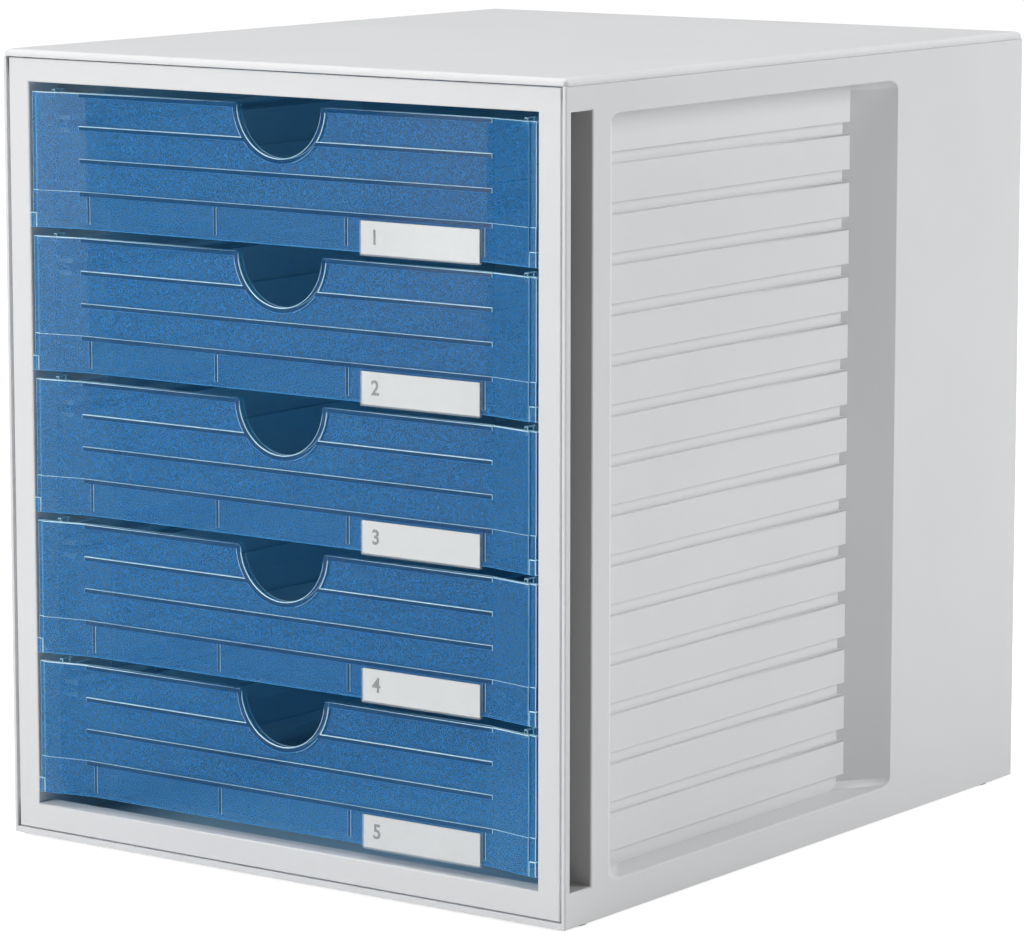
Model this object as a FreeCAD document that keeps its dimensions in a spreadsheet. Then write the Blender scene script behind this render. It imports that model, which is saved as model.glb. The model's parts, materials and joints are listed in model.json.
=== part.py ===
import FreeCAD, Part
import os
import re
import Sketcher

# Desktop drawer unit for sheets of A4: a casing of moulded panels with a front frame, and five drawers.
# Millimetres. The front faces -Y, the right side +X and the top +Z. The origin lies on the table top,
# under the middle of the unit. Every size below is written once, in the sheet, and every feature is bound
# to it by a formula.

SIZES = {
    # casing as a whole
    "case_width": 275.0,
    "case_depth": 330.0,
    "total_height": 320.0,
    "foot_stand": 1.6,
    "side_skin": 1.8,
    "top_wall": 3.0,
    "bottom_wall": 2.5,
    "rear_wall": 2.2,
    "corner_round": 2.0,
    "edge_round": 2.2,
    "fine_round": 0.8,
    "seam_round": 0.4,
    # front frame
    "frame_gap": 0.9,
    "frame_gap_high": 0.4,
    "frame_setback": 0.4,
    "frame_wall": 1.6,
    "frame_lip": 8.0,
    "frame_side": 13.0,
    "opening_bottom": 13.4,
    "opening_top": 12.7,
    # upright slot and post at the front of each side
    "slot_front": 3.4,
    "slot_width": 13.4,
    "slot_depth": 11.3,
    "slot_low": 13.9,
    "slot_top": 12.6,
    "slot_wall": 1.6,
    "post_width": 11.5,
    # grip recess with its slats
    "recess_depth": 11.8,
    "recess_length": 202.4,
    "recess_low": 13.6,
    "recess_top": 14.5,
    "ramp_length": 17.6,
    "recess_wall": 2.0,
    "recess_corner": 3.5,
    "slat_low": 19.9,
    "band_height": 4.5,
    "band_depth": 1.8,
    "slat_round": 1.0,
    "rib_overlap": 1.7,
    # runner channels inside the sides
    "rail_wall": 2.0,
    "rail_reach": 1.4,
    "runner_play": 0.3,
    "channel_play": 0.7,
    "drawer_travel": 240.0,
    "stop_play": 0.2,
    "stop_length": 3.0,
    # drawers
    "front_gap": 3.4,
    "front_top_gap": 3.6,
    "front_base_gap": 5.1,
    "drawer_side_gap": 1.2,
    "panel_setback": 4.7,
    "front_wall": 2.0,
    "wing_width": 22.3,
    "wing_reach": 4.4,
    "ear_width": 2.8,
    "ear_step": 0.9,
    "tray_inset": 8.0,
    "tray_wall": 1.8,
    "tray_floor": 1.8,
    "tray_lift": 0.8,
    "tray_drop": 2.0,
    "tray_back_gap": 0.6,
    "tray_round": 5.0,
    "runner_wall": 2.0,
    "runner_width": 3.4,
    "runner_front": 14.0,
    "lug_reach": 1.6,
    "lug_length": 6.0,
    "lug_back": 8.0,
    "lug_rise": 0.8,
    # relief on the drawer fronts
    "bead_height": 2.0,
    "bead_proud": 1.1,
    "label_band": 15.0,
    "bead_run_out": 3.1,
    "band_proud": 0.3,
    "divider_width": 1.6,
    "divider_proud": 0.4,
    "divider_inset": 1.3,
    "divider_lift": 2.0,
    "notch_radius": 20.5,
    "notch_bead": 2.4,
    "notch_round": 1.0,
    "corner_lug_width": 3.2,
    "corner_lug_height": 6.0,
    # labels
    "label_width": 56.2,
    "label_height": 13.3,
    "label_drop": 0.95,
    "label_edge_gap": 0.3,
    "holder_wall": 0.5,
    "card_wall": 0.35,
    "card_play": 0.1,
    # feet
    "foot_radius": 7.0,
    "foot_socket": 1.0,
    "foot_play": 0.3,
    "foot_side_inset": 10.5,
    "foot_end_inset": 17.0,
}
DRAWERS = 5
SLATS_PER_DRAWER = 3
BEADS = 4

doc = FreeCAD.newDocument("DrawerUnit")
sheet = doc.addObject("Spreadsheet::Sheet", "Sizes")
for row, (name, number) in enumerate(SIZES.items(), start=1):
    sheet.set(f"A{row}", name)
    sheet.set(f"B{row}", str(number))
    sheet.setAlias(f"B{row}", name)
doc.recompute()

# Places that several pieces share, as formulas of the sheet's sizes.
CASE_TOP = "total_height"
SIDE_FACE = "case_width / 2"
FRONT_FACE = "(-case_depth / 2)"
FRAME_BACK = f"({FRONT_FACE} + frame_setback + frame_wall)"
CASE_HEIGHT = "(total_height - foot_stand)"
OPENING_WIDTH = f"(2 * {SIDE_FACE} - 2 * frame_side)"
OPENING_HEIGHT = f"({CASE_HEIGHT} - opening_bottom - opening_top)"
FRONTS_HEIGHT = f"({OPENING_HEIGHT} - front_top_gap - front_base_gap - {DRAWERS - 1} * front_gap)"
FRONT_HEIGHT = f"({FRONTS_HEIGHT} / {DRAWERS})"
DRAWER_PITCH = f"({FRONT_HEIGHT} + front_gap)"
TRAY_WIDTH = f"({OPENING_WIDTH} - 2 * tray_inset)"
SLOT_HEIGHT = f"({CASE_HEIGHT} - slot_low - slot_top)"
RECESS_HEIGHT = f"({CASE_HEIGHT} - recess_low - recess_top)"
SLOT_START = f"({FRONT_FACE} + slot_front)"
SLOT_END = f"({SLOT_START} + slot_width)"
RECESS_START = f"({SLOT_END} + post_width)"
RECESS_END = f"({RECESS_START} + recess_length)"
SLAT_PLANE = f"({SIDE_FACE} - recess_depth)"
BAND_PLANE = f"({SLAT_PLANE} - band_depth)"
WALL_INSIDE = f"({SLAT_PLANE} - recess_wall)"
RIB_INSIDE = f"({WALL_INSIDE} - band_depth)"
SLAT_PITCH = f"({DRAWER_PITCH} / {SLATS_PER_DRAWER})"
LOWEST_BAND = "(foot_stand + slat_low - band_height)"
RAIL_TIP = f"({TRAY_WIDTH} / 2 + rail_reach)"
CHANNEL = "(runner_play + runner_wall + channel_play)"
# The lowest drawer hangs in the channel behind the third band from the bottom.
LOWEST_RAIL = f"({LOWEST_BAND} + {SLATS_PER_DRAWER - 1} * {SLAT_PITCH} + band_height / 2)"
LOWEST_RAIL_TOP = f"({LOWEST_RAIL} + rail_wall / 2)"
PANEL_FACE = f"({FRONT_FACE} + panel_setback)"
WING_FACE = f"({PANEL_FACE} - wing_reach)"
EAR_FACE = f"({WING_FACE} + ear_step)"
FRONT_HALF = f"({OPENING_WIDTH} / 2 - drawer_side_gap)"
WING_END = f"({FRONT_HALF} - ear_width)"
FOLD = f"({WING_END} - wing_width)"
TRAY_REAR = "(case_depth / 2 - rear_wall - tray_back_gap)"
TOP_FRONT_BASE = f"({CASE_TOP} - opening_top - front_top_gap - {FRONT_HEIGHT})"
RUNNER_BASE = f"({LOWEST_RAIL_TOP} + {DRAWERS - 1} * {DRAWER_PITCH} + runner_play - {TOP_FRONT_BASE})"
LUG_START = f"({TRAY_REAR} - lug_back - lug_length)"
STOP_REAR = f"({LUG_START} - drawer_travel - stop_play)"
BAND_FACE = f"({PANEL_FACE} - band_proud)"
HOLDER_DEPTH = "(2 * holder_wall + card_wall + 2 * card_play)"
DIVIDER_END = f"({FOLD} - divider_inset)"
BEAD_PITCH = f"(({FRONT_HEIGHT} - label_band) / {BEADS - 1})"


def of_sheet(formula):
    """Turns each size name in a formula into a reference to its cell."""
    return re.sub(r"[a-z][a-z_]+", lambda word: "Sizes." + word.group(0), formula)


def bind(thing, path, formula):
    """Ties one property of an object to a formula of the sheet's sizes."""
    thing.setExpression(path, of_sheet(formula))


def size(name):
    """The number that the sheet holds under a name."""
    return float(getattr(sheet, name))


def amount(formula):
    """The number that a formula of the sheet's sizes comes to."""
    numbers = re.sub(r"[a-z][a-z_]+", lambda word: str(size(word.group(0))), formula)
    return FreeCAD.Units.Quantity(numbers).Value


def new_body(label):
    """An empty body whose label is the piece's name."""
    body = doc.addObject("PartDesign::Body", label)
    body.Label = label
    return body


def origin_part(body, role):
    """The plane or axis of a body's own origin with this role."""
    return next(item for item in body.Origin.OriginFeatures if item.Role == role)


def block(body, name, low, extent, cut=False):
    """Adds or cuts a box given by its lowest corner and its three lengths."""
    kind = "Subtractive" if cut else "Additive"
    made = body.newObject(f"PartDesign::{kind}Box", name)
    for side, formula in zip(("Length", "Width", "Height"), extent):
        bind(made, side, formula)
    for axis, formula in zip("xyz", low):
        bind(made, f"Placement.Base.{axis}", formula)
    return made


def mirrored_block(body, name, inner, outer, low, extent, cut=False):
    """Adds or cuts a box between two distances from the middle plane, on the left and on the right."""
    lows = {"left": f"-({outer})", "right": inner}
    return [
        block(body, f"{name}_{side}", (start, *low), (f"{outer} - ({inner})", *extent), cut)
        for side, start in lows.items()
    ]


def outline(body, name, role, height, *loops):
    """A sketch of closed straight-sided loops; each corner is a pair of formulas."""
    sketch = body.newObject("Sketcher::SketchObject", name)
    sketch.AttachmentSupport = (origin_part(body, role), [""])
    sketch.MapMode = "FlatFace"
    bind(sketch, "AttachmentOffset.Base.z", height)
    for turn, corners in enumerate(loops):
        count = len(corners)
        first = sketch.GeometryCount
        start = FreeCAD.Vector(100.0 - 30.0 * turn, 0, 0)
        turns = [FreeCAD.Rotation(FreeCAD.Vector(0, 0, 1), 360.0 * step / count) for step in range(count)]
        spokes = [one_turn.multVec(start) for one_turn in turns]
        for step in range(count):
            line = Part.LineSegment(spokes[step], spokes[(step + 1) % count])
            sketch.addGeometry(line, False)
        for step in range(count):
            after = first + (step + 1) % count
            sketch.addConstraint(Sketcher.Constraint("Coincident", first + step, 2, after, 1))
        for step, corner in enumerate(corners):
            for direction, formula in zip(("DistanceX", "DistanceY"), corner):
                start_value = 1.0
                rule = Sketcher.Constraint(direction, -1, 1, first + step, 1, start_value)
                index = sketch.addConstraint(rule)
                bind(sketch, f"Constraints[{index}]", formula)
    return sketch


def pad(body, name, sketch, length):
    """Extrudes a sketch along its plane's normal."""
    made = body.newObject("PartDesign::Pad", name)
    made.Profile = sketch
    bind(made, "Length", length)
    return made


def pocket(body, name, sketch, length):
    """Cuts a sketch into the body along its plane's normal."""
    made = body.newObject("PartDesign::Pocket", name)
    made.Profile = sketch
    made.Reversed = True
    bind(made, "Length", length)
    return made


def repeat(body, name, features, axis, spacing, count):
    """Repeats features at an even spacing along an axis of the body."""
    made = body.newObject("PartDesign::LinearPattern", name)
    made.Originals = features
    made.Direction = (origin_part(body, axis), [""])
    made.Mode = "Spacing"
    bind(made, "Offset", spacing)
    made.Occurrences = count
    body.Tip = made
    return made


def round_edges(body, name, radius, wanted):
    """Rounds the edges of the body that a test picks out."""
    doc.recompute()
    tip = body.Tip
    picked = [f"Edge{number}" for number, edge in enumerate(tip.Shape.Edges, start=1) if wanted(edge)]
    if not picked:
        raise RuntimeError(f"{name} finds no edge on {body.Label}")
    made = body.newObject("PartDesign::Fillet", name)
    made.Base = (tip, picked)
    bind(made, "Radius", radius)
    return made


def near(first, second):
    """True where two lengths are the same to a hundredth of a millimetre."""
    return abs(first - second) < 0.01


def runs_along(edge, axis):
    """True for a straight edge that runs along the axis with this number."""
    ends = [vertex.Point for vertex in edge.Vertexes]
    if len(ends) != 2 or edge.Curve.TypeId != "Part::GeomLine":
        return False
    return all(near(ends[0][other], ends[1][other]) for other in range(3) if other != axis)


def at_place(edge, axis, place):
    """True where the whole edge lies at one place along an axis."""
    box = edge.BoundBox
    low = (box.XMin, box.YMin, box.ZMin)[axis]
    high = (box.XMax, box.YMax, box.ZMax)[axis]
    return near(low, place) and near(high, place)


def upright_edge_at(place):
    """A test for the upright edges that stand at one place from front to back."""
    return lambda edge: runs_along(edge, 2) and at_place(edge, 1, place)


def make_top_panel():
    """The top plate, which reaches over the full width, with rounded outer edges."""
    body = new_body("top_panel")
    low = (f"-{SIDE_FACE}", FRONT_FACE, f"{CASE_TOP} - top_wall")
    block(body, "top_plate", low, ("case_width", "case_depth", "top_wall"))
    round_edges(body, "top_corners", "corner_round", lambda edge: runs_along(edge, 2))
    top = size("total_height")
    round_edges(body, "top_edges", "edge_round", lambda edge: at_place(edge, 2, top))
    seam = top - size("top_wall")
    round_edges(body, "seam_edges", "seam_round", lambda edge: at_place(edge, 2, seam))
    return body


def make_bottom_panel():
    """The base plate between the side skins, with a shallow socket over each foot."""
    body = new_body("bottom_panel")
    low = (f"-({SIDE_FACE} - side_skin)", FRONT_FACE, "foot_stand")
    block(body, "base_plate", low, ("case_width - 2 * side_skin", "case_depth", "bottom_wall"))
    for name, across, along in foot_places():
        socket = body.newObject("PartDesign::SubtractiveCylinder", f"socket_{name}")
        bind(socket, "Radius", "foot_radius + foot_play")
        bind(socket, "Height", "foot_socket")
        bind(socket, "Placement.Base.x", across)
        bind(socket, "Placement.Base.y", along)
        bind(socket, "Placement.Base.z", "foot_stand")
    return body


def foot_places():
    """Name, place across and place along for each of the four feet."""
    across = f"({SIDE_FACE} - foot_side_inset)"
    along = "(case_depth / 2 - foot_end_inset)"
    return [
        (f"foot_{end}_{side}", f"{side_sign}{across}", f"{end_sign}{along}")
        for end, end_sign in (("front", "-"), ("rear", ""))
        for side, side_sign in (("left", "-"), ("right", ""))
    ]


def make_foot(name, across, along):
    """One round rubber foot, pressed against the ceiling of its socket."""
    body = new_body(name)
    disc = body.newObject("PartDesign::AdditiveCylinder", "disc")
    bind(disc, "Radius", "foot_radius")
    bind(disc, "Height", "foot_stand + foot_socket")
    bind(disc, "Placement.Base.x", across)
    bind(disc, "Placement.Base.y", along)
    return body


def make_rear_panel():
    """The closed back of the casing, set between the sides, the base and the top."""
    body = new_body("rear_panel")
    low = (f"-({SIDE_FACE} - side_skin)", "case_depth / 2 - rear_wall", "foot_stand + bottom_wall")
    height = "total_height - foot_stand - bottom_wall - top_wall"
    block(body, "back_plate", low, ("case_width - 2 * side_skin", "rear_wall", height))
    return body


def make_front_frame():
    """The frame round the drawers: a flat face let into the casing's rim, with a lip above and below."""
    body = new_body("front_frame")
    half = f"({SIDE_FACE} - side_skin - frame_gap)"
    low = "(foot_stand + bottom_wall + frame_gap_high)"
    high = f"({CASE_TOP} - top_wall - frame_gap_high)"
    door = f"({OPENING_WIDTH} / 2)"
    door_low = "(foot_stand + opening_bottom)"
    door_high = f"({door_low} + {OPENING_HEIGHT})"
    outer = [(f"-{half}", low), (half, low), (half, high), (f"-{half}", high)]
    inner = [(f"-{door}", door_low), (door, door_low), (door, door_high), (f"-{door}", door_high)]
    # The XZ plane's normal points to -Y, so the sketch lies at the frame's back and grows to the front.
    face = outline(body, "frame_outline", "XZ_Plane", f"-{FRAME_BACK}", outer, inner)
    pad(body, "frame_face", face, "frame_wall")
    lip_low = (f"-{door}", FRAME_BACK, f"{door_low} - frame_wall")
    block(body, "lower_lip", lip_low, (OPENING_WIDTH, "frame_lip", "frame_wall"))
    lip_high = (f"-{door}", FRAME_BACK, door_high)
    block(body, "upper_lip", lip_high, (OPENING_WIDTH, "frame_lip", "frame_wall"))
    front = -size("case_depth") / 2 + size("frame_setback")
    round_edges(body, "frame_edges", "fine_round", lambda edge: at_place(edge, 1, front))
    return body


def recess_corners(depth, wall):
    """The four corners, in plan, of the recess cut to a depth, or of the tub round it with a wall."""
    slope = "ramp_length / recess_depth"
    shift = f"{wall} * (ramp_length ^ 2 + recess_depth ^ 2) ^ 0.5 / recess_depth"
    foot = f"({depth} * {slope} - {shift})"
    bottom = f"{SIDE_FACE} - {depth}"
    return [
        (SIDE_FACE, f"{RECESS_START} - {shift}"),
        (bottom, f"{RECESS_START} + {foot}"),
        (bottom, f"{RECESS_END} - {foot}"),
        (SIDE_FACE, f"{RECESS_END} + {shift}"),
    ]


def make_side_panel():
    """The right side: skin, slot, post and grip recess with its slats, and the runner channels inside."""
    body = new_body("side_panel_right")
    skin_inside = f"({SIDE_FACE} - side_skin)"
    skin_low = (skin_inside, FRONT_FACE, "foot_stand")
    block(body, "skin", skin_low, ("side_skin", "case_depth", "total_height - foot_stand - top_wall"))

    tub = outline(
        body, "tub_outline", "XY_Plane", "foot_stand + recess_low - recess_wall",
        recess_corners("(recess_depth + recess_wall)", "recess_wall"),
    )
    pad(body, "recess_tub", tub, f"{RECESS_HEIGHT} + 2 * recess_wall")
    slot_inside = f"({SIDE_FACE} - slot_depth)"
    slot_tub_low = (f"{slot_inside} - slot_wall", FRAME_BACK, "foot_stand + slot_low - slot_wall")
    slot_tub = (
        "slot_depth + slot_wall - side_skin / 2",
        f"{SLOT_END} + slot_wall - {FRAME_BACK}",
        f"{SLOT_HEIGHT} + 2 * slot_wall",
    )
    block(body, "slot_tub", slot_tub_low, slot_tub)

    rib_low = (RIB_INSIDE, f"{RECESS_START} + ramp_length", f"{LOWEST_BAND} - rib_overlap")
    rib_height = "band_height + 2 * rib_overlap"
    rib = ("band_depth + recess_wall / 2", "recess_length - 2 * ramp_length", rib_height)
    first_rib = block(body, "band_rib", rib_low, rib)
    slats = DRAWERS * SLATS_PER_DRAWER
    repeat(body, "band_ribs", [first_rib], "Z_Axis", SLAT_PITCH, slats)

    rail_start = f"({SLOT_END} + slot_wall / 2)"
    rail_length = f"case_depth / 2 - rear_wall - runner_play - {rail_start}"
    rail_depth = f"{SIDE_FACE} - side_skin / 2 - {RAIL_TIP}"
    lower_low = (RAIL_TIP, rail_start, f"{LOWEST_RAIL_TOP} - rail_wall")
    lower = block(body, "lower_rail", lower_low, (rail_depth, rail_length, "rail_wall"))
    upper_low = (RAIL_TIP, rail_start, f"{LOWEST_RAIL_TOP} + {CHANNEL}")
    upper = block(body, "upper_rail", upper_low, (rail_depth, rail_length, "rail_wall"))
    nub_inside = f"({TRAY_WIDTH} / 2 + runner_width + lug_reach / 4)"
    nub_low = (nub_inside, f"{STOP_REAR} - stop_length", LOWEST_RAIL_TOP)
    nub_width = f"{WALL_INSIDE} + recess_wall / 2 - {nub_inside}"
    nub = block(body, "stop_nub", nub_low, (nub_width, "stop_length", CHANNEL))
    repeat(body, "runner_channels", [lower, upper, nub], "Z_Axis", DRAWER_PITCH, DRAWERS)

    cavity = outline(
        body, "recess_outline", "XY_Plane", "foot_stand + recess_low", recess_corners("recess_depth", "0"),
    )
    pocket(body, "grip_recess", cavity, RECESS_HEIGHT)
    slot_low = (slot_inside, SLOT_START, "foot_stand + slot_low")
    block(body, "upright_slot", slot_low, ("slot_depth", "slot_width", SLOT_HEIGHT), cut=True)

    band = outline(
        body, "band_outline", "XY_Plane", LOWEST_BAND, recess_corners("(recess_depth + band_depth)", "0"),
    )
    first_band = pocket(body, "sunk_band", band, "band_height")
    repeat(body, "sunk_bands", [first_band], "Z_Axis", SLAT_PITCH, slats)
    hem = outline(
        body, "hem_outline", "XY_Plane", "foot_stand + recess_low",
        recess_corners("(recess_depth + band_depth)", "0"),
    )
    pocket(body, "bottom_band", hem, "slat_low - recess_low - band_height / 2")

    slat_face = size("case_width") / 2 - size("recess_depth")
    lowest = size("foot_stand") + size("slat_low") - size("band_height")
    pitch = amount(SLAT_PITCH)
    slat_tops = [lowest + pitch * step for step in range(1, slats)]

    def upper_slat_edge(edge):
        """True for the upper front edge of a slat."""
        level = edge.BoundBox.ZMin
        in_front = runs_along(edge, 1) and at_place(edge, 0, slat_face)
        return in_front and any(near(level, top) for top in slat_tops)

    round_edges(body, "slat_edges", "slat_round", upper_slat_edge)
    recess_floor = size("foot_stand") + size("recess_low")
    recess_levels = (recess_floor, recess_floor + amount(RECESS_HEIGHT))

    def ramp_edge(edge):
        """True for an edge where a ramp of the recess meets its floor or its ceiling."""
        level = any(at_place(edge, 2, height) for height in recess_levels)
        return level and edge.BoundBox.XLength > size("recess_depth") - 1 and edge.BoundBox.YLength > 1

    round_edges(body, "ramp_corners", "recess_corner", ramp_edge)
    face = size("case_width") / 2
    round_edges(body, "skin_edges", "fine_round", lambda edge: at_place(edge, 0, face))
    return body


def make_left_side_panel(right_panel):
    """The left side, the mirror image of the right one in the middle plane."""
    mirror = doc.addObject("Part::Mirroring", "side_panel_left")
    mirror.Label = "side_panel_left"
    mirror.Source = right_panel
    mirror.Normal = FreeCAD.Vector(1, 0, 0)
    mirror.Base = FreeCAD.Vector(0, 0, 0)
    return mirror


def front_corners(proud):
    """The plan of a drawer front: flat middle, wings that come forward, and an ear at each end."""
    face_line = [
        (FRONT_HALF, EAR_FACE),
        (WING_END, EAR_FACE),
        (WING_END, WING_FACE),
        (FOLD, PANEL_FACE),
    ]
    inner_fold = f"{FOLD} + ({PANEL_FACE} - {EAR_FACE}) * wing_width / wing_reach"
    back_line = [(FOLD, PANEL_FACE), (inner_fold, EAR_FACE), (FRONT_HALF, EAR_FACE)]
    front = [(across, f"{along} - {proud}") for across, along in face_line]
    back = [(across, f"{along} + front_wall") for across, along in back_line]
    left_front = [(f"-({across})", along) for across, along in reversed(front)]
    left_back = [(f"-({across})", along) for across, along in reversed(back)]
    return front + left_front + left_back + back


def tray_corners(inside, rear):
    """The plan of the tray behind the front: straight sides that end in the wings."""
    half = f"({TRAY_WIDTH} / 2 - {inside})"
    depth_in = "front_wall" if inside != "0" else "front_wall / 2"
    wing_line = f"({PANEL_FACE} + {depth_in} - ({half} - {FOLD}) * wing_reach / wing_width)"
    middle = f"({PANEL_FACE} + {depth_in})"
    right = [(half, rear), (half, wing_line), (FOLD, middle)]
    left = [(f"-({across})", along) for across, along in reversed(right)]
    return right + left


def make_tray(number):
    """One drawer: a moulded tray with its front, relief, runner flanges, stop lugs and notch."""
    body = new_body(f"drawer_tray_{number}")
    bind(body, "Placement.Base.z", f"{TOP_FRONT_BASE} - {number - 1} * {DRAWER_PITCH}")
    wall_height = f"({FRONT_HEIGHT} - tray_drop - tray_lift)"
    shell = outline(body, "tray_outline", "XY_Plane", "tray_lift", tray_corners("0", TRAY_REAR))
    pad(body, "tray_block", shell, wall_height)
    rear = size("case_depth") / 2 - size("rear_wall") - size("tray_back_gap")
    round_edges(body, "outer_corners", "tray_round", upright_edge_at(rear))
    inner_rear = f"{TRAY_REAR} - tray_wall"
    hollow = outline(
        body, "hollow_outline", "XY_Plane", "tray_lift + tray_floor", tray_corners("tray_wall", inner_rear),
    )
    pocket(body, "tray_hollow", hollow, wall_height)
    inner = rear - size("tray_wall")
    radius = "tray_round - tray_wall"
    round_edges(body, "inner_corners", radius, upright_edge_at(inner))

    plan = outline(body, "front_outline", "XY_Plane", "0", front_corners("0"))
    pad(body, "front_panel", plan, FRONT_HEIGHT)
    band_plan = outline(body, "label_band_outline", "XY_Plane", "0", front_corners("band_proud"))
    pad(body, "front_band", band_plan, "label_band")

    reach = f"({FOLD} + bead_run_out)"
    bead_low = (f"-{reach}", f"{PANEL_FACE} - bead_proud", "label_band - bead_height")
    bead = (f"2 * {reach}", "bead_proud + front_wall / 2", "bead_height")
    lowest_bead = block(body, "bead", bead_low, bead)
    repeat(body, "beads", [lowest_bead], "Z_Axis", BEAD_PITCH, BEADS)

    for name, radius, start, cut in (
        ("notch_bead", "notch_radius + notch_bead", "bead_proud", False),
        ("thumb_notch", "notch_radius", "wing_reach", True),
    ):
        kind = "Subtractive" if cut else "Additive"
        disc = body.newObject(f"PartDesign::{kind}Cylinder", name)
        bind(disc, "Radius", radius)
        bind(disc, "Height", f"front_wall + {start}")
        disc.Angle = 180.0
        disc.Placement.Rotation = FreeCAD.Rotation(FreeCAD.Vector(1, 0, 0), -90.0)
        bind(disc, "Placement.Base.y", f"{PANEL_FACE} - {start}")
        bind(disc, "Placement.Base.z", FRONT_HEIGHT)
    top = amount(FRONT_HEIGHT)
    notch_side = size("notch_radius")

    def notch_corner(edge):
        """True for an edge where the thumb notch opens to the top of the front."""
        sides = any(at_place(edge, 0, place) for place in (-notch_side, notch_side))
        return sides and runs_along(edge, 1) and at_place(edge, 2, top)

    round_edges(body, "notch_corners", "notch_round", notch_corner)

    divider_low = (f"-{DIVIDER_END} - divider_width / 2", f"{BAND_FACE} - divider_proud", "divider_lift")
    divider = ("divider_width", "divider_proud + front_wall / 2", "label_band - divider_lift")
    first = block(body, "divider", divider_low, divider)
    repeat(body, "dividers", [first], "X_Axis", f"2 * {DIVIDER_END} / 3", 4)

    half = f"{TRAY_WIDTH} / 2"
    runner_start = f"({FRONT_FACE} + runner_front)"
    flange_end = f"{half} + runner_width"
    runner_length = f"{TRAY_REAR} - tray_round - {runner_start}"
    inside = f"{half} - tray_wall / 2"
    flange_low = (runner_start, RUNNER_BASE)
    mirrored_block(body, "runner_flange", inside, flange_end, flange_low, (runner_length, "runner_wall"))
    stop_low = (LUG_START, RUNNER_BASE)
    stop_end = f"{flange_end} + lug_reach"
    mirrored_block(body, "stop_lug", inside, stop_end, stop_low, ("lug_length", "runner_wall"))
    wall_lug_low = (f"{PANEL_FACE} + front_wall / 4", f"{FRONT_HEIGHT} - 2 * tray_drop")
    wall_lug = ("lug_length", "2 * tray_drop + lug_rise")
    mirrored_block(body, "wall_lug", f"{half} - tray_wall", half, wall_lug_low, wall_lug)
    lug_outer = f"{FRONT_HALF} + drawer_side_gap / 2"
    corner_low = (f"{WING_FACE} - band_proud", "0")
    corner_lug = ("front_wall", "corner_lug_height")
    mirrored_block(body, "corner_lug", f"{lug_outer} - corner_lug_width", lug_outer, corner_low, corner_lug)
    return body


def make_label_holder(number):
    """The clear channel, open at the top, that is clipped on the third bay of a label band."""
    body = new_body(f"label_holder_{number}")
    bind(body, "Placement.Base.z", f"{TOP_FRONT_BASE} - {number - 1} * {DRAWER_PITCH}")
    back = BAND_FACE
    front = f"{BAND_FACE} - {HOLDER_DEPTH}"
    low = "-label_drop"
    high = "label_height - label_drop"
    shelf = "holder_wall - label_drop"
    corners = [
        (back, high),
        (back, low),
        (front, low),
        (front, high),
        (f"{front} + holder_wall", high),
        (f"{front} + holder_wall", shelf),
        (f"{back} - holder_wall", shelf),
        (f"{back} - holder_wall", high),
    ]
    section = outline(body, "channel_section", "YZ_Plane", LABEL_LEFT, corners)
    pad(body, "channel", section, "label_width")
    return body


def make_label_card(number):
    """The blank card that stands in a label holder."""
    card = doc.addObject("Part::Box", f"label_card_{number}")
    card.Label = f"label_card_{number}"
    bind(card, "Length", "label_width - 2 * label_edge_gap")
    bind(card, "Width", "card_wall")
    bind(card, "Height", "label_height - holder_wall - 2 * card_play")
    bind(card, "Placement.Base.x", f"{LABEL_LEFT} + label_edge_gap")
    bind(card, "Placement.Base.y", f"{BAND_FACE} - holder_wall - card_play - card_wall")
    base = f"{TOP_FRONT_BASE} - {number - 1} * {DRAWER_PITCH}"
    bind(card, "Placement.Base.z", f"{base} - label_drop + holder_wall + card_play")
    return card


LABEL_LEFT = f"({DIVIDER_END} - divider_width / 2 - label_edge_gap - label_width)"

pieces = [make_top_panel(), make_bottom_panel(), make_rear_panel(), make_front_frame()]
pieces += [make_foot(*place) for place in foot_places()]
right_side = make_side_panel()
pieces += [right_side, make_left_side_panel(right_side)]
for drawer in range(1, DRAWERS + 1):
    pieces += [make_tray(drawer), make_label_holder(drawer), make_label_card(drawer)]
doc.recompute()

for item in doc.Objects:
    if {"Invalid", "Error"} & set(item.State):
        raise RuntimeError(f"{item.Label} failed: {item.State}")
    base = getattr(item, "BaseFeature", None)
    cuts = "Subtractive" in item.TypeId or "Pocket" in item.TypeId
    if base and cuts and item.Shape.Volume >= base.Shape.Volume - 0.01:
        raise RuntimeError(f"{item.Label} cuts nothing")
for piece in pieces:
    if piece.Shape.isNull() or not piece.Shape.isValid():
        raise RuntimeError(f"{piece.Label} has no valid shape")

os.makedirs("parts", exist_ok=True)
for piece in pieces:
    piece.Shape.exportStep(f"parts/{piece.Label}.step")
    solids = len(piece.Shape.Solids)
    print(f"{piece.Label}: {solids} solid, {piece.Shape.Volume:.0f} mm3")
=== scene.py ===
"""Dresses the desktop drawer unit: a pale grey casing, five drawers of clear blue plastic, and their labels.

Lengths are in metres. The front faces -Y, the right side +X, and the table top is at height zero.
"""

import json
import logging
import math
from dataclasses import dataclass, field
from enum import Enum

import bmesh
import bpy
import numpy as np
from mathutils import Matrix, Vector

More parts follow.
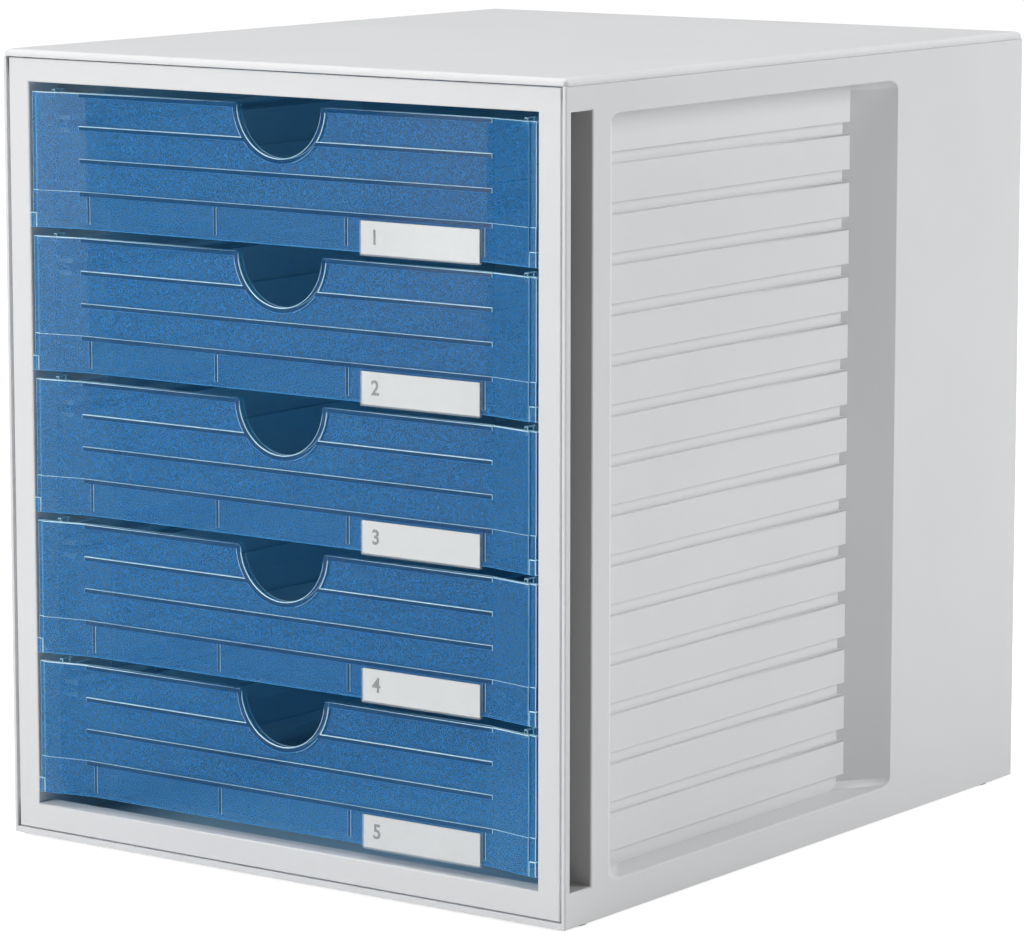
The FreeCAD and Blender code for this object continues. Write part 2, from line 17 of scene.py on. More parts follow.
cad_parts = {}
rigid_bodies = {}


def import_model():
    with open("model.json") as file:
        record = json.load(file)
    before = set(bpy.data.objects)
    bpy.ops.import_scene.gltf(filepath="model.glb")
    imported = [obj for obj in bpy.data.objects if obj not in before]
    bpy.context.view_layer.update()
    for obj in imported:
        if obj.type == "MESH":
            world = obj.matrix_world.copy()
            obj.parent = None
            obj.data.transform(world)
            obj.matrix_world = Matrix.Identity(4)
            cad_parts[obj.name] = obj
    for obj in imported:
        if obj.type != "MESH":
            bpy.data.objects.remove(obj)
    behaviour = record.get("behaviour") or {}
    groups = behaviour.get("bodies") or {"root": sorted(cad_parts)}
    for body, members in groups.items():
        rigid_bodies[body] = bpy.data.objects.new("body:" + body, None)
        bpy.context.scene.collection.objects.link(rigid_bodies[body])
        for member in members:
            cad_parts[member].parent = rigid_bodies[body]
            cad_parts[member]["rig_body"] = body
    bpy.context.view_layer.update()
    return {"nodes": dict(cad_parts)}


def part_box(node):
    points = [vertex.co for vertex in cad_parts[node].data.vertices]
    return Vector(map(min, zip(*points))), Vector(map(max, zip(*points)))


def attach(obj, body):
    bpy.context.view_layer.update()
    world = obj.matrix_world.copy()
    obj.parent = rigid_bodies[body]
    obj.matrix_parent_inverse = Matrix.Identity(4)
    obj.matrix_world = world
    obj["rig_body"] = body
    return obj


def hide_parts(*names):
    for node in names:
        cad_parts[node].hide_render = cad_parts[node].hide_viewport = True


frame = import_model()
LOG = logging.getLogger("drawer_unit")
MM = 0.001
DRAWERS = 5
SOFT_ANGLE = math.radians(40)
LEAST_SHARE = 0.4

Socket = bpy.types.NodeSocket
Piece = bpy.types.Object


class Slot(Enum):
    """The record's material slots."""

    CASING = "casing"
    DRAWER = "drawer"
    HOLDER = "holder"
    CARD = "card"
    FOOT = "foot"


class Blue(Enum):
    """The finishes of a drawer's moulding, in the order of its material slots."""

    POLISHED = 0
    GRAINED = 1
    BEAD = 2
    # The last two are painted highlights on the rounded edges: dimmer where an edge looks neither up nor to a side,
    # brighter where it does.
    DIM_EDGE = 3
    BRIGHT_EDGE = 4


class NodeSheet:
    """A small writer of shader node trees, so that a finish reads as a recipe."""

    def __init__(self, name: str) -> None:
        """Starts an empty material.

        Args:
            name: The material's name.
        """
        self.material = bpy.data.materials.new(name)
        self.material.use_nodes = True
        self.tree = self.material.node_tree
        self.tree.nodes.clear()
        self.output = self.tree.nodes.new("ShaderNodeOutputMaterial")

    def node(self, kind: str, **settings: object) -> bpy.types.Node:
        """Adds a node.

        Args:
            kind: The node's type, without its ShaderNode prefix.
            settings: Attributes that are set on the node.

        Returns:
            The new node.
        """
        made = self.tree.nodes.new("ShaderNode" + kind)
        for key, value in settings.items():
            setattr(made, key, value)
        return made

    def link(self, source: Socket, target: Socket) -> None:
        """Joins an output to an input."""
        self.tree.links.new(source, target)

    def place(self) -> Socket:
        """The surface point in the unit's own frame."""
        return self.node("TexCoord").outputs["Object"]

    def noise(self, vector: Socket, scale: float, detail: float = 2.0, roughness: float = 0.5) -> Socket:
        """Adds a noise pattern.

        Args:
            vector: Where the pattern is read.
            scale: Cells to the metre.
            detail: Octaves.
            roughness: How strong the finer octaves are.

        Returns:
            The pattern's value.
        """
        made = self.node("TexNoise")
        made.inputs["Scale"].default_value = scale
        made.inputs["Detail"].default_value = detail
        made.inputs["Roughness"].default_value = roughness
        self.link(vector, made.inputs["Vector"])
        return made.outputs["Fac"]

    def spread(self, value: Socket, low: float, high: float, to_low: float, to_high: float) -> Socket:
        """Maps one range of a value to another, held at its ends."""
        made = self.node("MapRange")
        self.link(value, made.inputs["Value"])
        for name, number in zip(("From Min", "From Max", "To Min", "To Max"), (low, high, to_low, to_high)):
            made.inputs[name].default_value = number
        return made.outputs["Result"]

    def math(self, operation: str, first: Socket, second: Socket | float) -> Socket:
        """Combines two values."""
        made = self.node("Math", operation=operation)
        self.link(first, made.inputs[0])
        if isinstance(second, float):
            made.inputs[1].default_value = second
        else:
            self.link(second, made.inputs[1])
        return made.outputs[0]

    def blend(self, share: Socket, first: tuple[float, ...], second: tuple[float, ...]) -> Socket:
        """Mixes two colours by a value.

        Args:
            share: 0 for the first colour, 1 for the second.
            first: Linear red, green and blue.
            second: Linear red, green and blue.

        Returns:
            The mixed colour.
        """
        made = self.node("Mix", data_type="RGBA")
        self.link(share, made.inputs["Factor"])
        made.inputs["A"].default_value = (*first, 1.0)
        made.inputs["B"].default_value = (*second, 1.0)
        return made.outputs["Result"]

    def bump(self, height: Socket, strength: float, distance: float) -> Socket:
        """Turns a height pattern into a bent normal."""
        made = self.node("Bump")
        made.inputs["Strength"].default_value = strength
        made.inputs["Distance"].default_value = distance
        self.link(height, made.inputs["Height"])
        return made.outputs["Normal"]

    def plastic(self, colour: Socket, roughness: Socket | float, normal: Socket | None) -> bpy.types.Node:
        """Adds the surface shader and joins it to the output.

        Args:
            colour: The surface colour.
            roughness: A number, or a pattern.
            normal: The bent normal, or None.

        Returns:
            The shader node.
        """
        shader = self.node("BsdfPrincipled")
        self.link(colour, shader.inputs["Base Color"])
        if isinstance(roughness, float):
            shader.inputs["Roughness"].default_value = roughness
        else:
            self.link(roughness, shader.inputs["Roughness"])
        if normal is not None:
            self.link(normal, shader.inputs["Normal"])
        self.link(shader.outputs[0], self.output.inputs["Surface"])
        return shader

    def see_through(
        self, shader: bpy.types.Node, cover: Socket, dye: tuple[float, float, float]
    ) -> bpy.types.Material:
        """Lets light on through a surface.

        Args:
            shader: The shader of the surface itself.
            cover: How much of the light the surface keeps.
            dye: The colour of the light that goes on.

        Returns:
            The finished material.
        """
        clear = self.node("BsdfTransparent")
        clear.inputs["Color"].default_value = (*dye, 1.0)
        mixed = self.node("MixShader")
        self.link(cover, mixed.inputs[0])
        self.link(clear.outputs[0], mixed.inputs[1])
        self.link(shader.outputs[0], mixed.inputs[2])
        self.link(mixed.outputs[0], self.output.inputs["Surface"])
        return self.material


@dataclass(frozen=True)
class MouldedGrey:
    """Grey styrene with a fine spark-eroded grain and a soft sheen."""

    name: str
    light: tuple[float, float, float]
    dark: tuple[float, float, float]
    sheen: float = 0.42

    def make(self) -> bpy.types.Material:
        """The finish as a material."""
        sheet = NodeSheet(self.name)
        place = sheet.place()
        cloud = sheet.spread(sheet.noise(place, 14.0, 3.0), 0.35, 0.65, 0.0, 1.0)
        grain = sheet.noise(place, 1500.0, 2.0, 0.6)
        tone = sheet.math("MULTIPLY", sheet.spread(grain, 0.3, 0.7, 0.0, 1.0), 0.5)
        mixed = sheet.math("ADD", sheet.math("MULTIPLY", cloud, 0.5), tone)
        body = sheet.blend(mixed, self.dark, self.light)
        rough = sheet.spread(grain, 0.3, 0.7, self.sheen - 0.05, self.sheen + 0.08)
        shader = sheet.plastic(body, rough, sheet.bump(grain, 0.10, 0.00012))
        shader.inputs["IOR"].default_value = 1.50
        return sheet.material


CASING_GREY = MouldedGrey("moulded_grey", light=(0.800, 0.806, 0.815), dark=(0.765, 0.771, 0.780))
# Painted shade: the darker grey of the inside of the upright slot in each side panel, in place of the shade there.
SLOT_PAINTED_SHADE = MouldedGrey("slot_grey", light=(0.500, 0.501, 0.503), dark=(0.460, 0.461, 0.463), sheen=0.55)


@dataclass(frozen=True)
class TintedStyrene:
    """Clear blue styrene: a share of the light meets the surface, the rest goes on through, dyed blue."""

    name: str
    deep: tuple[float, float, float]
    pale: tuple[float, float, float]
    cover: float
    roughness: float
    cells: float
    relief: float
    gloss: float = 0.45
    dye: tuple[float, float, float] = (0.885, 0.978, 1.0)

    def make(self) -> bpy.types.Material:
        """The finish as a material."""
        sheet = NodeSheet(self.name)
        grain = sheet.noise(sheet.place(), self.cells, 1.0, 0.7)
        colour = sheet.blend(sheet.spread(grain, 0.36, 0.66, 0.0, 1.0), self.deep, self.pale)
        rough = sheet.spread(grain, 0.3, 0.7, self.roughness - 0.03, self.roughness + 0.03)
        shader = sheet.plastic(colour, rough, sheet.bump(grain, self.relief, 0.0002))
        shader.inputs["IOR"].default_value = 1.57
        shader.inputs["Specular IOR Level"].default_value = self.gloss
        cover = sheet.spread(grain, 0.3, 0.7, 0.9 * self.cover, 1.1 * self.cover)
        return sheet.see_through(shader, cover, self.dye)


POLISHED_BLUE = TintedStyrene(
    "polished_blue", (0.004, 0.440, 0.980), (0.010, 0.500, 1.000),
    cover=0.065, roughness=0.10, cells=90.0, relief=0.02,
)
GRAINED_BLUE = TintedStyrene(
    "grained_blue", (0.002, 0.130, 0.385), (0.018, 0.300, 0.750),
    cover=0.50, roughness=0.33, cells=1800.0, relief=0.21,
)
BEAD_BLUE = TintedStyrene(
    "bead_blue", (0.0, 0.065, 0.210), (0.002, 0.085, 0.250),
    cover=0.60, roughness=0.12, cells=60.0, relief=0.02, gloss=0.2,
)
# Painted highlights on the drawers' rounded edges: blues paler than the panel, the brighter one for edges that look
# up or to a side.
DIM_EDGE = TintedStyrene(
    "dim_edge", (0.030, 0.320, 0.740), (0.050, 0.390, 0.820),
    cover=0.70, roughness=0.20, cells=60.0, relief=0.02,
)
BRIGHT_EDGE = TintedStyrene(
    "bright_edge", (0.56, 0.86, 1.0), (0.68, 0.92, 1.0),
    cover=0.95, roughness=0.20, cells=60.0, relief=0.02,
)


@dataclass(frozen=True)
class ClearSheet:
    """Thin clear plastic of the label holders, which lets the card show."""

    tint: tuple[float, float, float] = (0.92, 0.95, 0.97)
    cover: float = 0.22

    def make(self) -> bpy.types.Material:
        """The finish as a material."""
        sheet = NodeSheet("clear_sheet")
        smudge = sheet.noise(sheet.place(), 180.0, 2.0)
        colour = sheet.blend(smudge, self.tint, tuple(0.96 * part for part in self.tint))
        shader = sheet.plastic(colour, sheet.spread(smudge, 0.3, 0.7, 0.06, 0.12), None)
        shader.inputs["Alpha"].default_value = self.cover
        shader.inputs["IOR"].default_value = 1.49
        return sheet.material


@dataclass(frozen=True)
class PaperCard:
    """White card with a faint fibre."""

    white: tuple[float, float, float] = (0.86, 0.86, 0.85)
    fibre: tuple[float, float, float] = (0.80, 0.80, 0.79)

    def make(self) -> bpy.types.Material:
        """The finish as a material."""
        sheet = NodeSheet("paper_card")
        fibres = sheet.noise(sheet.place(), 900.0, 4.0, 0.7)
        colour = sheet.blend(sheet.spread(fibres, 0.4, 0.7, 0.0, 1.0), self.white, self.fibre)
        sheet.plastic(colour, 0.85, sheet.bump(fibres, 0.08, 0.00005))
        return sheet.material


@dataclass(frozen=True)
class FootRubber:
    """Dark rubber, dull and slightly dusty."""

    black: tuple[float, float, float] = (0.020, 0.020, 0.021)
    dust: tuple[float, float, float] = (0.055, 0.054, 0.052)

    def make(self) -> bpy.types.Material:
        """The finish as a material."""
        sheet = NodeSheet("foot_rubber")
        dust = sheet.noise(sheet.place(), 700.0, 3.0, 0.6)
        colour = sheet.blend(sheet.spread(dust, 0.45, 0.7, 0.0, 1.0), self.black, self.dust)
        sheet.plastic(colour, sheet.spread(dust, 0.3, 0.7, 0.65, 0.85), sheet.bump(dust, 0.2, 0.0001))
        return sheet.material


@dataclass(frozen=True)
class PrintedInk:
    """Dark grey print, slightly uneven where it lies on the card's fibre."""

    ink: tuple[float, float, float] = (0.020, 0.020, 0.023)
    worn: tuple[float, float, float] = (0.050, 0.050, 0.055)

    def make(self) -> bpy.types.Material:
        """The finish as a material."""
        sheet = NodeSheet("printed_ink")
        patch = sheet.noise(sheet.place(), 2500.0, 2.0)
        sheet.plastic(sheet.blend(sheet.spread(patch, 0.4, 0.7, 0.0, 1.0), self.ink, self.worn), 0.7, None)
        return sheet.material


@dataclass
class Finishes:
    """Every finish of the unit, made once."""

    grey: bpy.types.Material = field(default_factory=CASING_GREY.make)
    # Painted shade for the inside of the slot.
    slot_grey: bpy.types.Material = field(default_factory=SLOT_PAINTED_SHADE.make)
    polished: bpy.types.Material = field(default_factory=POLISHED_BLUE.make)
    grained: bpy.types.Material = field(default_factory=GRAINED_BLUE.make)
    bead: bpy.types.Material = field(default_factory=BEAD_BLUE.make)
    # Painted highlights for the drawers' rounded edges.
    dim_edge: bpy.types.Material = field(default_factory=DIM_EDGE.make)
    bright_edge: bpy.types.Material = field(default_factory=BRIGHT_EDGE.make)
    clear: bpy.types.Material = field(default_factory=lambda: ClearSheet().make())
    card: bpy.types.Material = field(default_factory=lambda: PaperCard().make())
    rubber: bpy.types.Material = field(default_factory=lambda: FootRubber().make())
    ink: bpy.types.Material = field(default_factory=lambda: PrintedInk().make())


def dress(piece: Piece, material: bpy.types.Material) -> Piece:
    """Gives a piece one material.

    Args:
        piece: The piece to dress.
        material: Its finish.

    Returns:
        The same piece.
    """
    if piece.material_slots:
        for place in piece.material_slots:
            place.material = material
    else:
        piece.data.materials.append(material)
    return piece


def width_of(face: bmesh.types.BMFace) -> float:
    """How wide a long face is across its length."""
    return face.calc_area() / max(edge.calc_length() for edge in face.edges)


def is_flat(face: bmesh.types.BMFace, broad: float = 3.0 * MM) -> bool:
    """Tells a flat face from a facet of a rounding.

    A facet is narrow and has a neighbour of about its own width across a shallow fold.

    Args:
        face: The face, after coplanar faces were joined.
        broad: The width from which a face is always flat.

    Returns:
        True for a flat face.
    """
    width = width_of(face)
    if width > broad:
        return True
    for edge in face.edges:
        if math.radians(1) < edge.calc_face_angle(0.0) < SOFT_ANGLE and edge.calc_length() > width:
            if any(other is not face and 0.4 * width < width_of(other) < broad for other in edge.link_faces):
                return False
    return True


def keep_flats_flat(mesh: bpy.types.Mesh, flat: np.ndarray) -> None:
    """Sets the shading normals: flat faces stay flat, and roundings run into them without a step.

    Each corner of a rounding takes the mean normal of the flat faces at its point, or else of all faces there.

    Args:
        mesh: The mesh.
        flat: For each face, whether it is flat.
    """
    faces, corners, points = len(mesh.polygons), len(mesh.loops), len(mesh.vertices)
    normal, area, size = np.empty(3 * faces), np.empty(faces), np.empty(faces, np.int32)
    at = np.empty(corners, np.int32)
    mesh.polygons.foreach_get("normal", normal)
    mesh.polygons.foreach_get("area", area)
    mesh.polygons.foreach_get("loop_total", size)
    mesh.loops.foreach_get("vertex_index", at)
    normal = normal.reshape(-1, 3)
    owner = np.repeat(np.arange(faces), size)
    own = normal[owner]
    result = own.copy()
    for share in (np.ones(faces), flat.astype(float)):
        total = np.zeros((points, 3))
        np.add.at(total, at, own * (share * area)[owner, None])
        length = np.linalg.norm(total, axis=1, keepdims=True)
        mean = (total / np.maximum(length, 1e-12))[at]
        fits = (mean * own).sum(axis=1) > math.cos(math.radians(60))
        chosen = fits & ~flat[owner]
        result[chosen] = mean[chosen]
    mesh.polygons.foreach_set("use_smooth", np.ones(faces, bool))
    mesh.normals_split_custom_set(result.tolist())
    mesh.update()


def room_for(fold: bmesh.types.BMEdge, face: bmesh.types.BMFace) -> float:
    """Tells how far the rounding of an edge may reach into one of its faces.

    Args:
        fold: The edge.
        face: One of its two faces.

    Returns:
        The reach in metres: most of the face where its far side is an inner corner, else a little less than half.
    """
    inner = sum(side.calc_length() for side in face.edges if not side.is_convex)
    longest = max(side.calc_length() for side in face.edges)
    looks_up = sum(near.normal.z for near in fold.link_faces) > -0.1
    strip = looks_up and inner > 0.6 * longest and width_of(face) < 0.5 * longest
    return (0.88 if strip else 0.46) * width_of(face)


def even_out(shape: bmesh.types.BMesh, share: bmesh.types.BMLayerItem) -> None:
    """Leaves out the narrowest roundings and gives those that meet at a corner the same width.

    Args:
        shape: The mesh before its edges are rounded.
        share: The layer that holds each edge's share of the full width.
    """
    for fold in shape.edges:
        if fold[share] < LEAST_SHARE:
            fold[share] = 0.0
    for corner in shape.verts:
        soft = [fold for fold in corner.link_edges if fold[share] > 0.0]
        for fold in soft:
            fold[share] = min(other[share] for other in soft)


def softened(
    node: str, width: float, finishes: list[bpy.types.Material], steps: int = 2, evened: bool = False
) -> Piece:
    """Makes a copy of a CAD node whose sharp edges are rounded, and lets it stand for the node.

    Args:
        node: The CAD node's name.
        width: How wide the rounding is, in metres.
        finishes: The materials, the last of which is that of the rounded edges.
        steps: Facets across the rounding.
        evened: Whether roundings that meet are made equally wide, which lets them be wider in all.

    Returns:
        The new piece, riding on the node's body.
    """
    source = frame["nodes"][node]
    draft = source.data.copy()
    shape = bmesh.new()
    shape.from_mesh(draft)
    bmesh.ops.remove_doubles(shape, verts=shape.verts, dist=2e-6)
    bmesh.ops.dissolve_limit(
        shape, angle_limit=math.radians(0.5), verts=shape.verts, edges=shape.edges, use_dissolve_boundaries=False
    )
    mark = shape.faces.layers.int.new("flat")
    for face in shape.faces:
        face[mark] = is_flat(face)
        face.material_index = 0
    share = shape.edges.layers.float.new("bevel_weight_edge")
    for fold in shape.edges:
        if fold.is_convex and fold.calc_face_angle(0.0) > SOFT_ANGLE:
            fold[share] = min(1.0, min(room_for(fold, face) for face in fold.link_faces) / width)
    if evened:
        even_out(shape, share)
    else:
        bmesh.ops.triangulate(shape, faces=[face for face in shape.faces if len(face.verts) > 4])
    shape.to_mesh(draft)
    shape.free()
    draft.materials.clear()
    for finish in finishes:
        draft.materials.append(finish)
    piece = bpy.data.objects.new(node + "_soft", draft)
    bpy.context.scene.collection.objects.link(piece)
    edge = piece.modifiers.new("soft_edges", "BEVEL")
    edge.width = width
    edge.segments = steps
    edge.limit_method = "WEIGHT"
    edge.miter_outer = "MITER_ARC"
    edge.material = len(finishes) - 1
    edge.use_clamp_overlap = not evened
    mesh = bpy.data.meshes.new_from_object(piece.evaluated_get(bpy.context.evaluated_depsgraph_get()))
    piece.modifiers.clear()
    mesh.name = node + "_soft"
    piece.data = mesh
    bpy.data.meshes.remove(draft)
    flat, finish = np.empty(len(mesh.polygons), np.int32), np.empty(len(mesh.polygons), np.int32)
    mesh.attributes["flat"].data.foreach_get("value", flat)
    mesh.polygons.foreach_get("material_index", finish)
    keep_flats_flat(mesh, (flat == 1) & (finish == 0))
    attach(piece, source["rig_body"])
    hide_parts(node)
    return piece


@dataclass
class Casing:
    """The grey casing: top, base, back, two sides, the front frame and four feet."""

    finishes: Finishes
    soft_edge: float = 0.25 * MM
    frame_edge: float = 0.35 * MM
    slot_mouth: float = 0.4 * MM
    slot_depth: float = 11.4 * MM
    slot_front: float = 3.3 * MM
    slot_rear: float = 16.9 * MM

    def build(self) -> list[Piece]:
        """Rounds and dresses the casing's pieces.

        Returns:
            The pieces made.
        """
        # The second finish is the painted shade of the slot.
        grey = [self.finishes.grey, self.finishes.slot_grey, self.finishes.grey]
        made = [softened(node, self.soft_edge, grey) for node in ("top_panel", "bottom_panel", "rear_panel")]
        for node in ("side_panel_right", "side_panel_left"):
            made.append(softened(node, self.soft_edge, grey))
            # Paints shade into the slot of the side panel.
            self.line_slot(made[-1].data)
        made.append(softened("front_frame", self.frame_edge, grey))
        for corner in ("front_left", "front_right", "rear_left", "rear_right"):
            foot = dress(frame["nodes"]["foot_" + corner], self.finishes.rubber)
        return made

    def line_slot(self, mesh: bpy.types.Mesh) -> None:
        """Paints shade on the inside of the upright slot: its faces take a darker grey that stands in for the shade
        there.

        The faces meant lie between the slot's front and rear, and deeper than its mouth.

        Args:
            mesh: A side panel's mesh.
        """
        count = len(mesh.polygons)
        centre, finish = np.empty(3 * count), np.empty(count, np.int32)
        mesh.polygons.foreach_get("center", centre)
        mesh.polygons.foreach_get("material_index", finish)
        centre = centre.reshape(-1, 3)
        face = np.abs(centre[:, 0]).max()
        front = centre[:, 1].min()
        across = (np.abs(centre[:, 0]) < face - self.slot_mouth) & (np.abs(centre[:, 0]) > face - self.slot_depth)
        along = (centre[:, 1] > front + self.slot_front) & (centre[:, 1] < front + self.slot_rear)
        # Painted shade: the slot's inner faces take the darker grey.
        finish[across & along] = 1
        mesh.polygons.foreach_set("material_index", finish)
        mesh.update()


@dataclass
class Drawer:
    """One drawer: its tray, the clear label holder and the numbered card."""

    number: int
    finishes: Finishes
    soft_edge: float = 0.36 * MM
    panel_depth: float = 4.7 * MM
    bead_relief: float = 0.5 * MM
    fold_place: float = 98.2 * MM
    digit_height: float = 8.0 * MM
    digit_weight: float = 0.18 * MM
    digit_inset: float = 4.4 * MM

    def build(self) -> list[Piece]:
        """Builds and dresses the drawer's pieces.

        Returns:
            The pieces made.
        """
        look = self.finishes
        # The last two finishes are painted highlights on the rounded edges.
        finishes = [look.polished, look.grained, look.bead, look.dim_edge, look.bright_edge]
        tray = softened(f"drawer_tray_{self.number}", self.soft_edge, finishes, evened=True)
        self.finish_front(tray.data)
        holder = dress(frame["nodes"][f"label_holder_{self.number}"], self.finishes.clear)
        card = dress(frame["nodes"][f"label_card_{self.number}"], self.finishes.card)
        return [tray, self.digit()]

    def finish_front(self, mesh: bpy.types.Mesh) -> None:
        """Shares the finishes out over the faces of the front, by place and by the way each face looks.

        Grain goes on what looks forward, where a normal's y is below -0.9. The beads and dividers, which lie between
        the two folds and stand out from the panel's plane, are dark and polished. The rounded edges carry painted
        highlights: a brighter one on those that look up or to a side, a dimmer one on the rest.

        Args:
            mesh: The tray's mesh, on which the rounded edges have the last finish and all else the first.
        """
        count = len(mesh.polygons)
        centre, normal, finish = np.empty(3 * count), np.empty(3 * count), np.empty(count, np.int32)
        mesh.polygons.foreach_get("center", centre)
        mesh.polygons.foreach_get("normal", normal)
        mesh.polygons.foreach_get("material_index", finish)
        centre, normal = centre.reshape(-1, 3), normal.reshape(-1, 3)
        panel = centre[:, 1].min() + self.panel_depth
        forward = (normal[:, 1] < -0.9) & (finish == 0) & (centre[:, 1] < panel + self.bead_relief)
        raised = (np.abs(centre[:, 0]) < self.fold_place) & (centre[:, 1] < panel - self.bead_relief)
        # Painted highlights: rounded edges that look neither up nor to a side take the dimmer highlight, the rest
        # keep the brighter one.
        painted_dim_edges = (finish == len(Blue) - 1) & (normal[:, 2] < 0.15) & (np.abs(normal[:, 0]) < 0.3)
        finish[forward] = Blue.GRAINED.value
        finish[forward & raised] = Blue.BEAD.value
        finish[painted_dim_edges] = Blue.DIM_EDGE.value
        mesh.polygons.foreach_set("material_index", finish)
        mesh.update()

    def digit(self) -> Piece:
        """Prints the drawer's number on its card.

        Returns:
            The number as a thin flat mesh in front of the card.
        """
        low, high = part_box(f"label_card_{self.number}")
        letters = bpy.data.curves.new(f"number_{self.number}", "FONT")
        letters.body = str(self.number)
        letters.align_y = "CENTER"
        letters.size = self.digit_height
        letters.offset = self.digit_weight
        letters.resolution_u = 6
        holder = bpy.data.objects.new("number_text", letters)
        bpy.context.scene.collection.objects.link(holder)
        bpy.context.view_layer.update()
        mesh = bpy.data.meshes.new_from_object(holder)
        bpy.data.objects.remove(holder)
        upright = Matrix.Rotation(math.radians(90), 4, "X")
        place = Vector((low.x + self.digit_inset, low.y - 0.00003, (low.z + high.z) / 2))
        mesh.transform(Matrix.Translation(place) @ upright)
        piece = bpy.data.objects.new(f"card_number_{self.number}", mesh)
        bpy.context.scene.collection.objects.link(piece)
        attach(dress(piece, self.finishes.ink), f"drawer_{self.number}")
        return piece


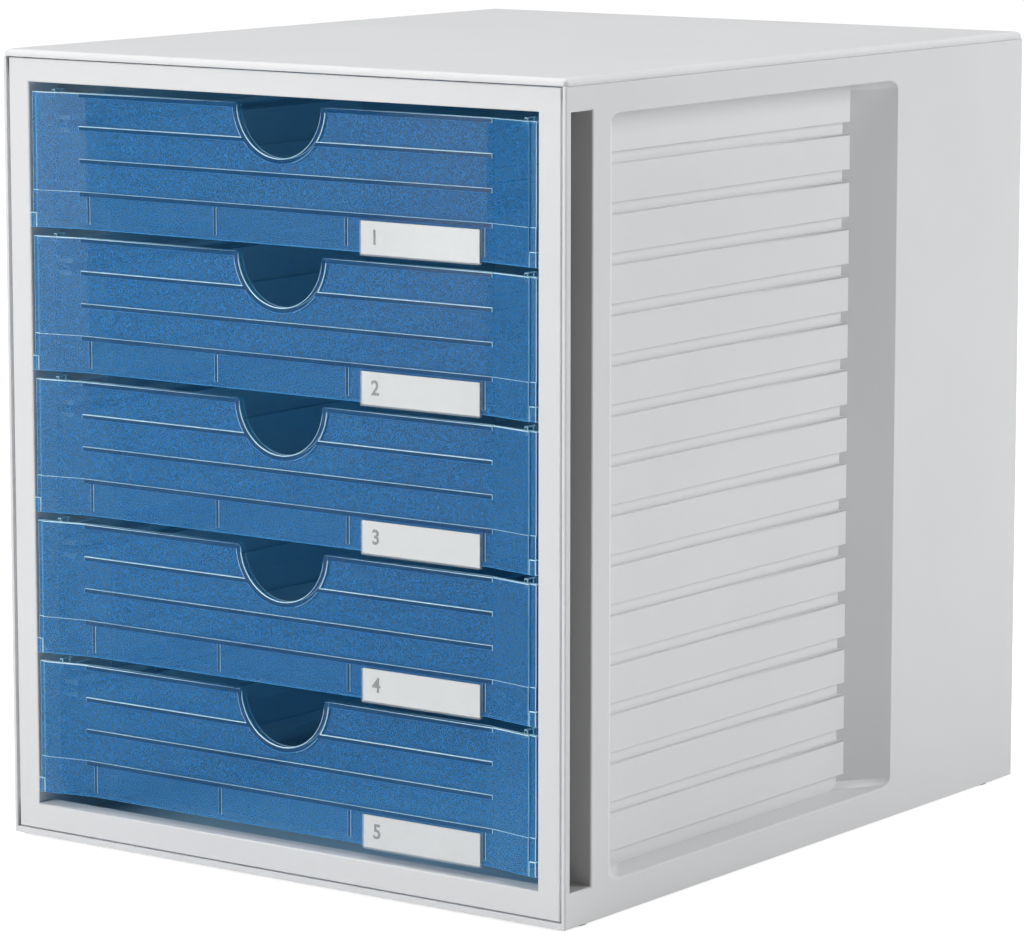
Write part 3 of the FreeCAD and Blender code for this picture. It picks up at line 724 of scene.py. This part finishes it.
@dataclass
class Studio:
    """The pale floor, the lamps and the camera."""

    floor_size: float = 9.0
    floor_white: float = 0.62
    lift: float = 0.80
    ambient: float = 0.05
    front_power: float = 28.0
    side_power: float = 40.0
    top_power: float = 38.0
    card_power: float = 1.5
    eye: tuple[float, float, float] = (1.1362, -1.5686, 0.4486)
    heading: float = 36.091
    tilt: float = 8.423
    focal: float = 4740.0
    shift_down: float = 50.0
    image: tuple[int, int] = (1024, 946)

    def build(self) -> None:
        """Sets up the floor, the surroundings, the lamps and the camera."""
        self.make_floor()
        self.make_surroundings()
        self.make_lamp("front_lamp", (-0.75, -2.05, 1.2), (0.0, -0.16, 0.16), 1.4, self.front_power)
        self.make_lamp("side_lamp", (1.9, 1.5, 1.1), (0.13, 0.0, 0.16), 1.4, self.side_power)
        self.make_lamp("top_lamp", (-0.3, -0.2, 2.4), (0.0, 0.0, 0.32), 1.5, self.top_power)
        self.make_lamp("card_lamp", (-0.42, -1.07, 0.27), (-0.115, -0.165, 0.26), 0.36, self.card_power)
        self.make_camera()
        scene = bpy.context.scene
        scene.view_settings.view_transform = "Standard"
        scene.cycles.transparent_max_bounces = 40
        scene.cycles.diffuse_bounces = 6

    def make_floor(self) -> Piece:
        """Makes the floor: a disc whose points are rings of growing radius.

        A point is (r cos a, r sin a, 0), with r from nought to the disc's radius and a all the way round.

        Returns:
            The floor.
        """
        radius = self.floor_size * np.linspace(0.0, 1.0, 24)[1:] ** 1.5
        angle = np.linspace(0.0, 2 * np.pi, 96, endpoint=False)
        ring = np.stack([np.cos(angle), np.sin(angle), np.zeros_like(angle)], axis=1)
        points = (radius[:, None, None] * ring[None]).reshape(-1, 3)
        points = np.vstack([points, [[0.0, 0.0, 0.0]]])
        across, along = np.meshgrid(np.arange(len(radius) - 1), np.arange(len(angle)), indexing="ij")
        after = (along + 1) % len(angle)
        count = len(angle)
        quads = np.stack(
            [across * count + along, (across + 1) * count + along, (across + 1) * count + after, across * count + after],
            axis=-1,
        ).reshape(-1, 4)
        start = np.arange(count)
        fan = np.stack([np.full(count, len(points) - 1), start, (start + 1) % count], axis=-1)
        mesh = bpy.data.meshes.new("floor")
        mesh.from_pydata(points.tolist(), [], quads.tolist() + fan.tolist())
        mesh.update()
        floor = bpy.data.objects.new("floor", mesh)
        bpy.context.scene.collection.objects.link(floor)
        dress(floor, self.floor_material())
        return floor

    def floor_material(self) -> bpy.types.Material:
        """The floor: white to the camera, with a part of its light of its own so that only the shadow shows."""
        sheet = NodeSheet("studio_floor")
        paper = sheet.noise(sheet.place(), 40.0, 3.0)
        white = self.floor_white
        colour = sheet.blend(paper, (white, white, white), (white - 0.01, white - 0.01, white - 0.01))
        matt = sheet.node("BsdfDiffuse")
        sheet.link(colour, matt.inputs["Color"])
        glow = sheet.node("Emission")
        glow.inputs["Color"].default_value = (1.0, 1.0, 1.0, 1.0)
        away = sheet.node("VectorMath", operation="LENGTH")
        sheet.link(sheet.place(), away.inputs[0])
        sheet.link(sheet.spread(away.outputs["Value"], 0.5, 1.8, self.lift, 1.0), glow.inputs["Strength"])
        seen = sheet.node("LightPath")
        rays = sheet.math("MAXIMUM", seen.outputs["Is Camera Ray"], seen.outputs["Is Glossy Ray"])
        rays = sheet.math("MAXIMUM", rays, seen.outputs["Is Transmission Ray"])
        both = sheet.node("AddShader")
        sheet.link(matt.outputs[0], both.inputs[0])
        sheet.link(glow.outputs[0], both.inputs[1])
        choose = sheet.node("MixShader")
        sheet.link(rays, choose.inputs[0])
        sheet.link(matt.outputs[0], choose.inputs[1])
        sheet.link(both.outputs[0], choose.inputs[2])
        sheet.link(choose.outputs[0], sheet.output.inputs["Surface"])
        return sheet.material

    def make_surroundings(self) -> None:
        """Makes the world: even soft light, and plain white behind the object."""
        world = bpy.data.worlds.new("studio")
        world.use_nodes = True
        tree = world.node_tree
        tree.nodes.clear()
        output = tree.nodes.new("ShaderNodeOutputWorld")
        seen = tree.nodes.new("ShaderNodeLightPath")
        light = tree.nodes.new("ShaderNodeBackground")
        light.inputs["Color"].default_value = (0.985, 0.995, 1.0, 1.0)
        light.inputs["Strength"].default_value = self.ambient
        white = tree.nodes.new("ShaderNodeBackground")
        white.inputs["Color"].default_value = (1.0, 1.0, 1.0, 1.0)
        white.inputs["Strength"].default_value = 1.0
        choose = tree.nodes.new("ShaderNodeMixShader")
        either = tree.nodes.new("ShaderNodeMath")
        either.operation = "MAXIMUM"
        tree.links.new(seen.outputs["Is Camera Ray"], either.inputs[0])
        tree.links.new(seen.outputs["Is Transmission Ray"], either.inputs[1])
        tree.links.new(either.outputs[0], choose.inputs[0])
        tree.links.new(light.outputs[0], choose.inputs[1])
        tree.links.new(white.outputs[0], choose.inputs[2])
        tree.links.new(choose.outputs[0], output.inputs["Surface"])
        bpy.context.scene.world = world

    def make_lamp(
        self, name: str, place: tuple[float, ...], target: tuple[float, ...], size: float, power: float
    ) -> Piece:
        """Adds a square soft lamp.

        Args:
            name: The lamp's name.
            place: Where it stands.
            target: The point that it looks at.
            size: The side of its square, in metres.
            power: Its power, in watts.

        Returns:
            The lamp.
        """
        data = bpy.data.lights.new(name, "AREA")
        data.size = size
        data.energy = power
        lamp = bpy.data.objects.new(name, data)
        bpy.context.scene.collection.objects.link(lamp)
        away = Vector(place) - Vector(target)
        lamp.rotation_mode = "QUATERNION"
        lamp.rotation_quaternion = away.to_track_quat("Z", "Y")
        lamp.location = place
        return lamp

    def make_camera(self) -> Piece:
        """Places the camera at the photograph's angle.

        Returns:
            The camera.
        """
        data = bpy.data.cameras.new("camera")
        data.sensor_width = 36.0
        data.lens = self.focal / self.image[0] * data.sensor_width
        data.shift_y = -self.shift_down / self.image[0]
        camera = bpy.data.objects.new("camera", data)
        bpy.context.scene.collection.objects.link(camera)
        head, tilt = math.radians(self.heading), math.radians(self.tilt)
        ahead = Vector((-math.sin(head) * math.cos(tilt), math.cos(head) * math.cos(tilt), -math.sin(tilt)))
        camera.rotation_mode = "QUATERNION"
        camera.rotation_quaternion = (-ahead).to_track_quat("Z", "Y")
        camera.location = self.eye
        data.clip_start, data.clip_end = 0.05, 60.0
        bpy.context.scene.camera = camera
        return camera


def main() -> None:
    """Builds the studio, the casing and the drawers in order."""
    logging.basicConfig(level=logging.INFO, format="%(name)s: %(message)s")
    Studio().build()
    finishes = Finishes()
    for piece in Casing(finishes).build():
        LOG.info("casing piece %s", piece.name)
    for number in range(1, DRAWERS + 1):
        for piece in Drawer(number, finishes).build():
            LOG.info("drawer piece %s", piece.name)


if __name__ == "__main__":
    main()
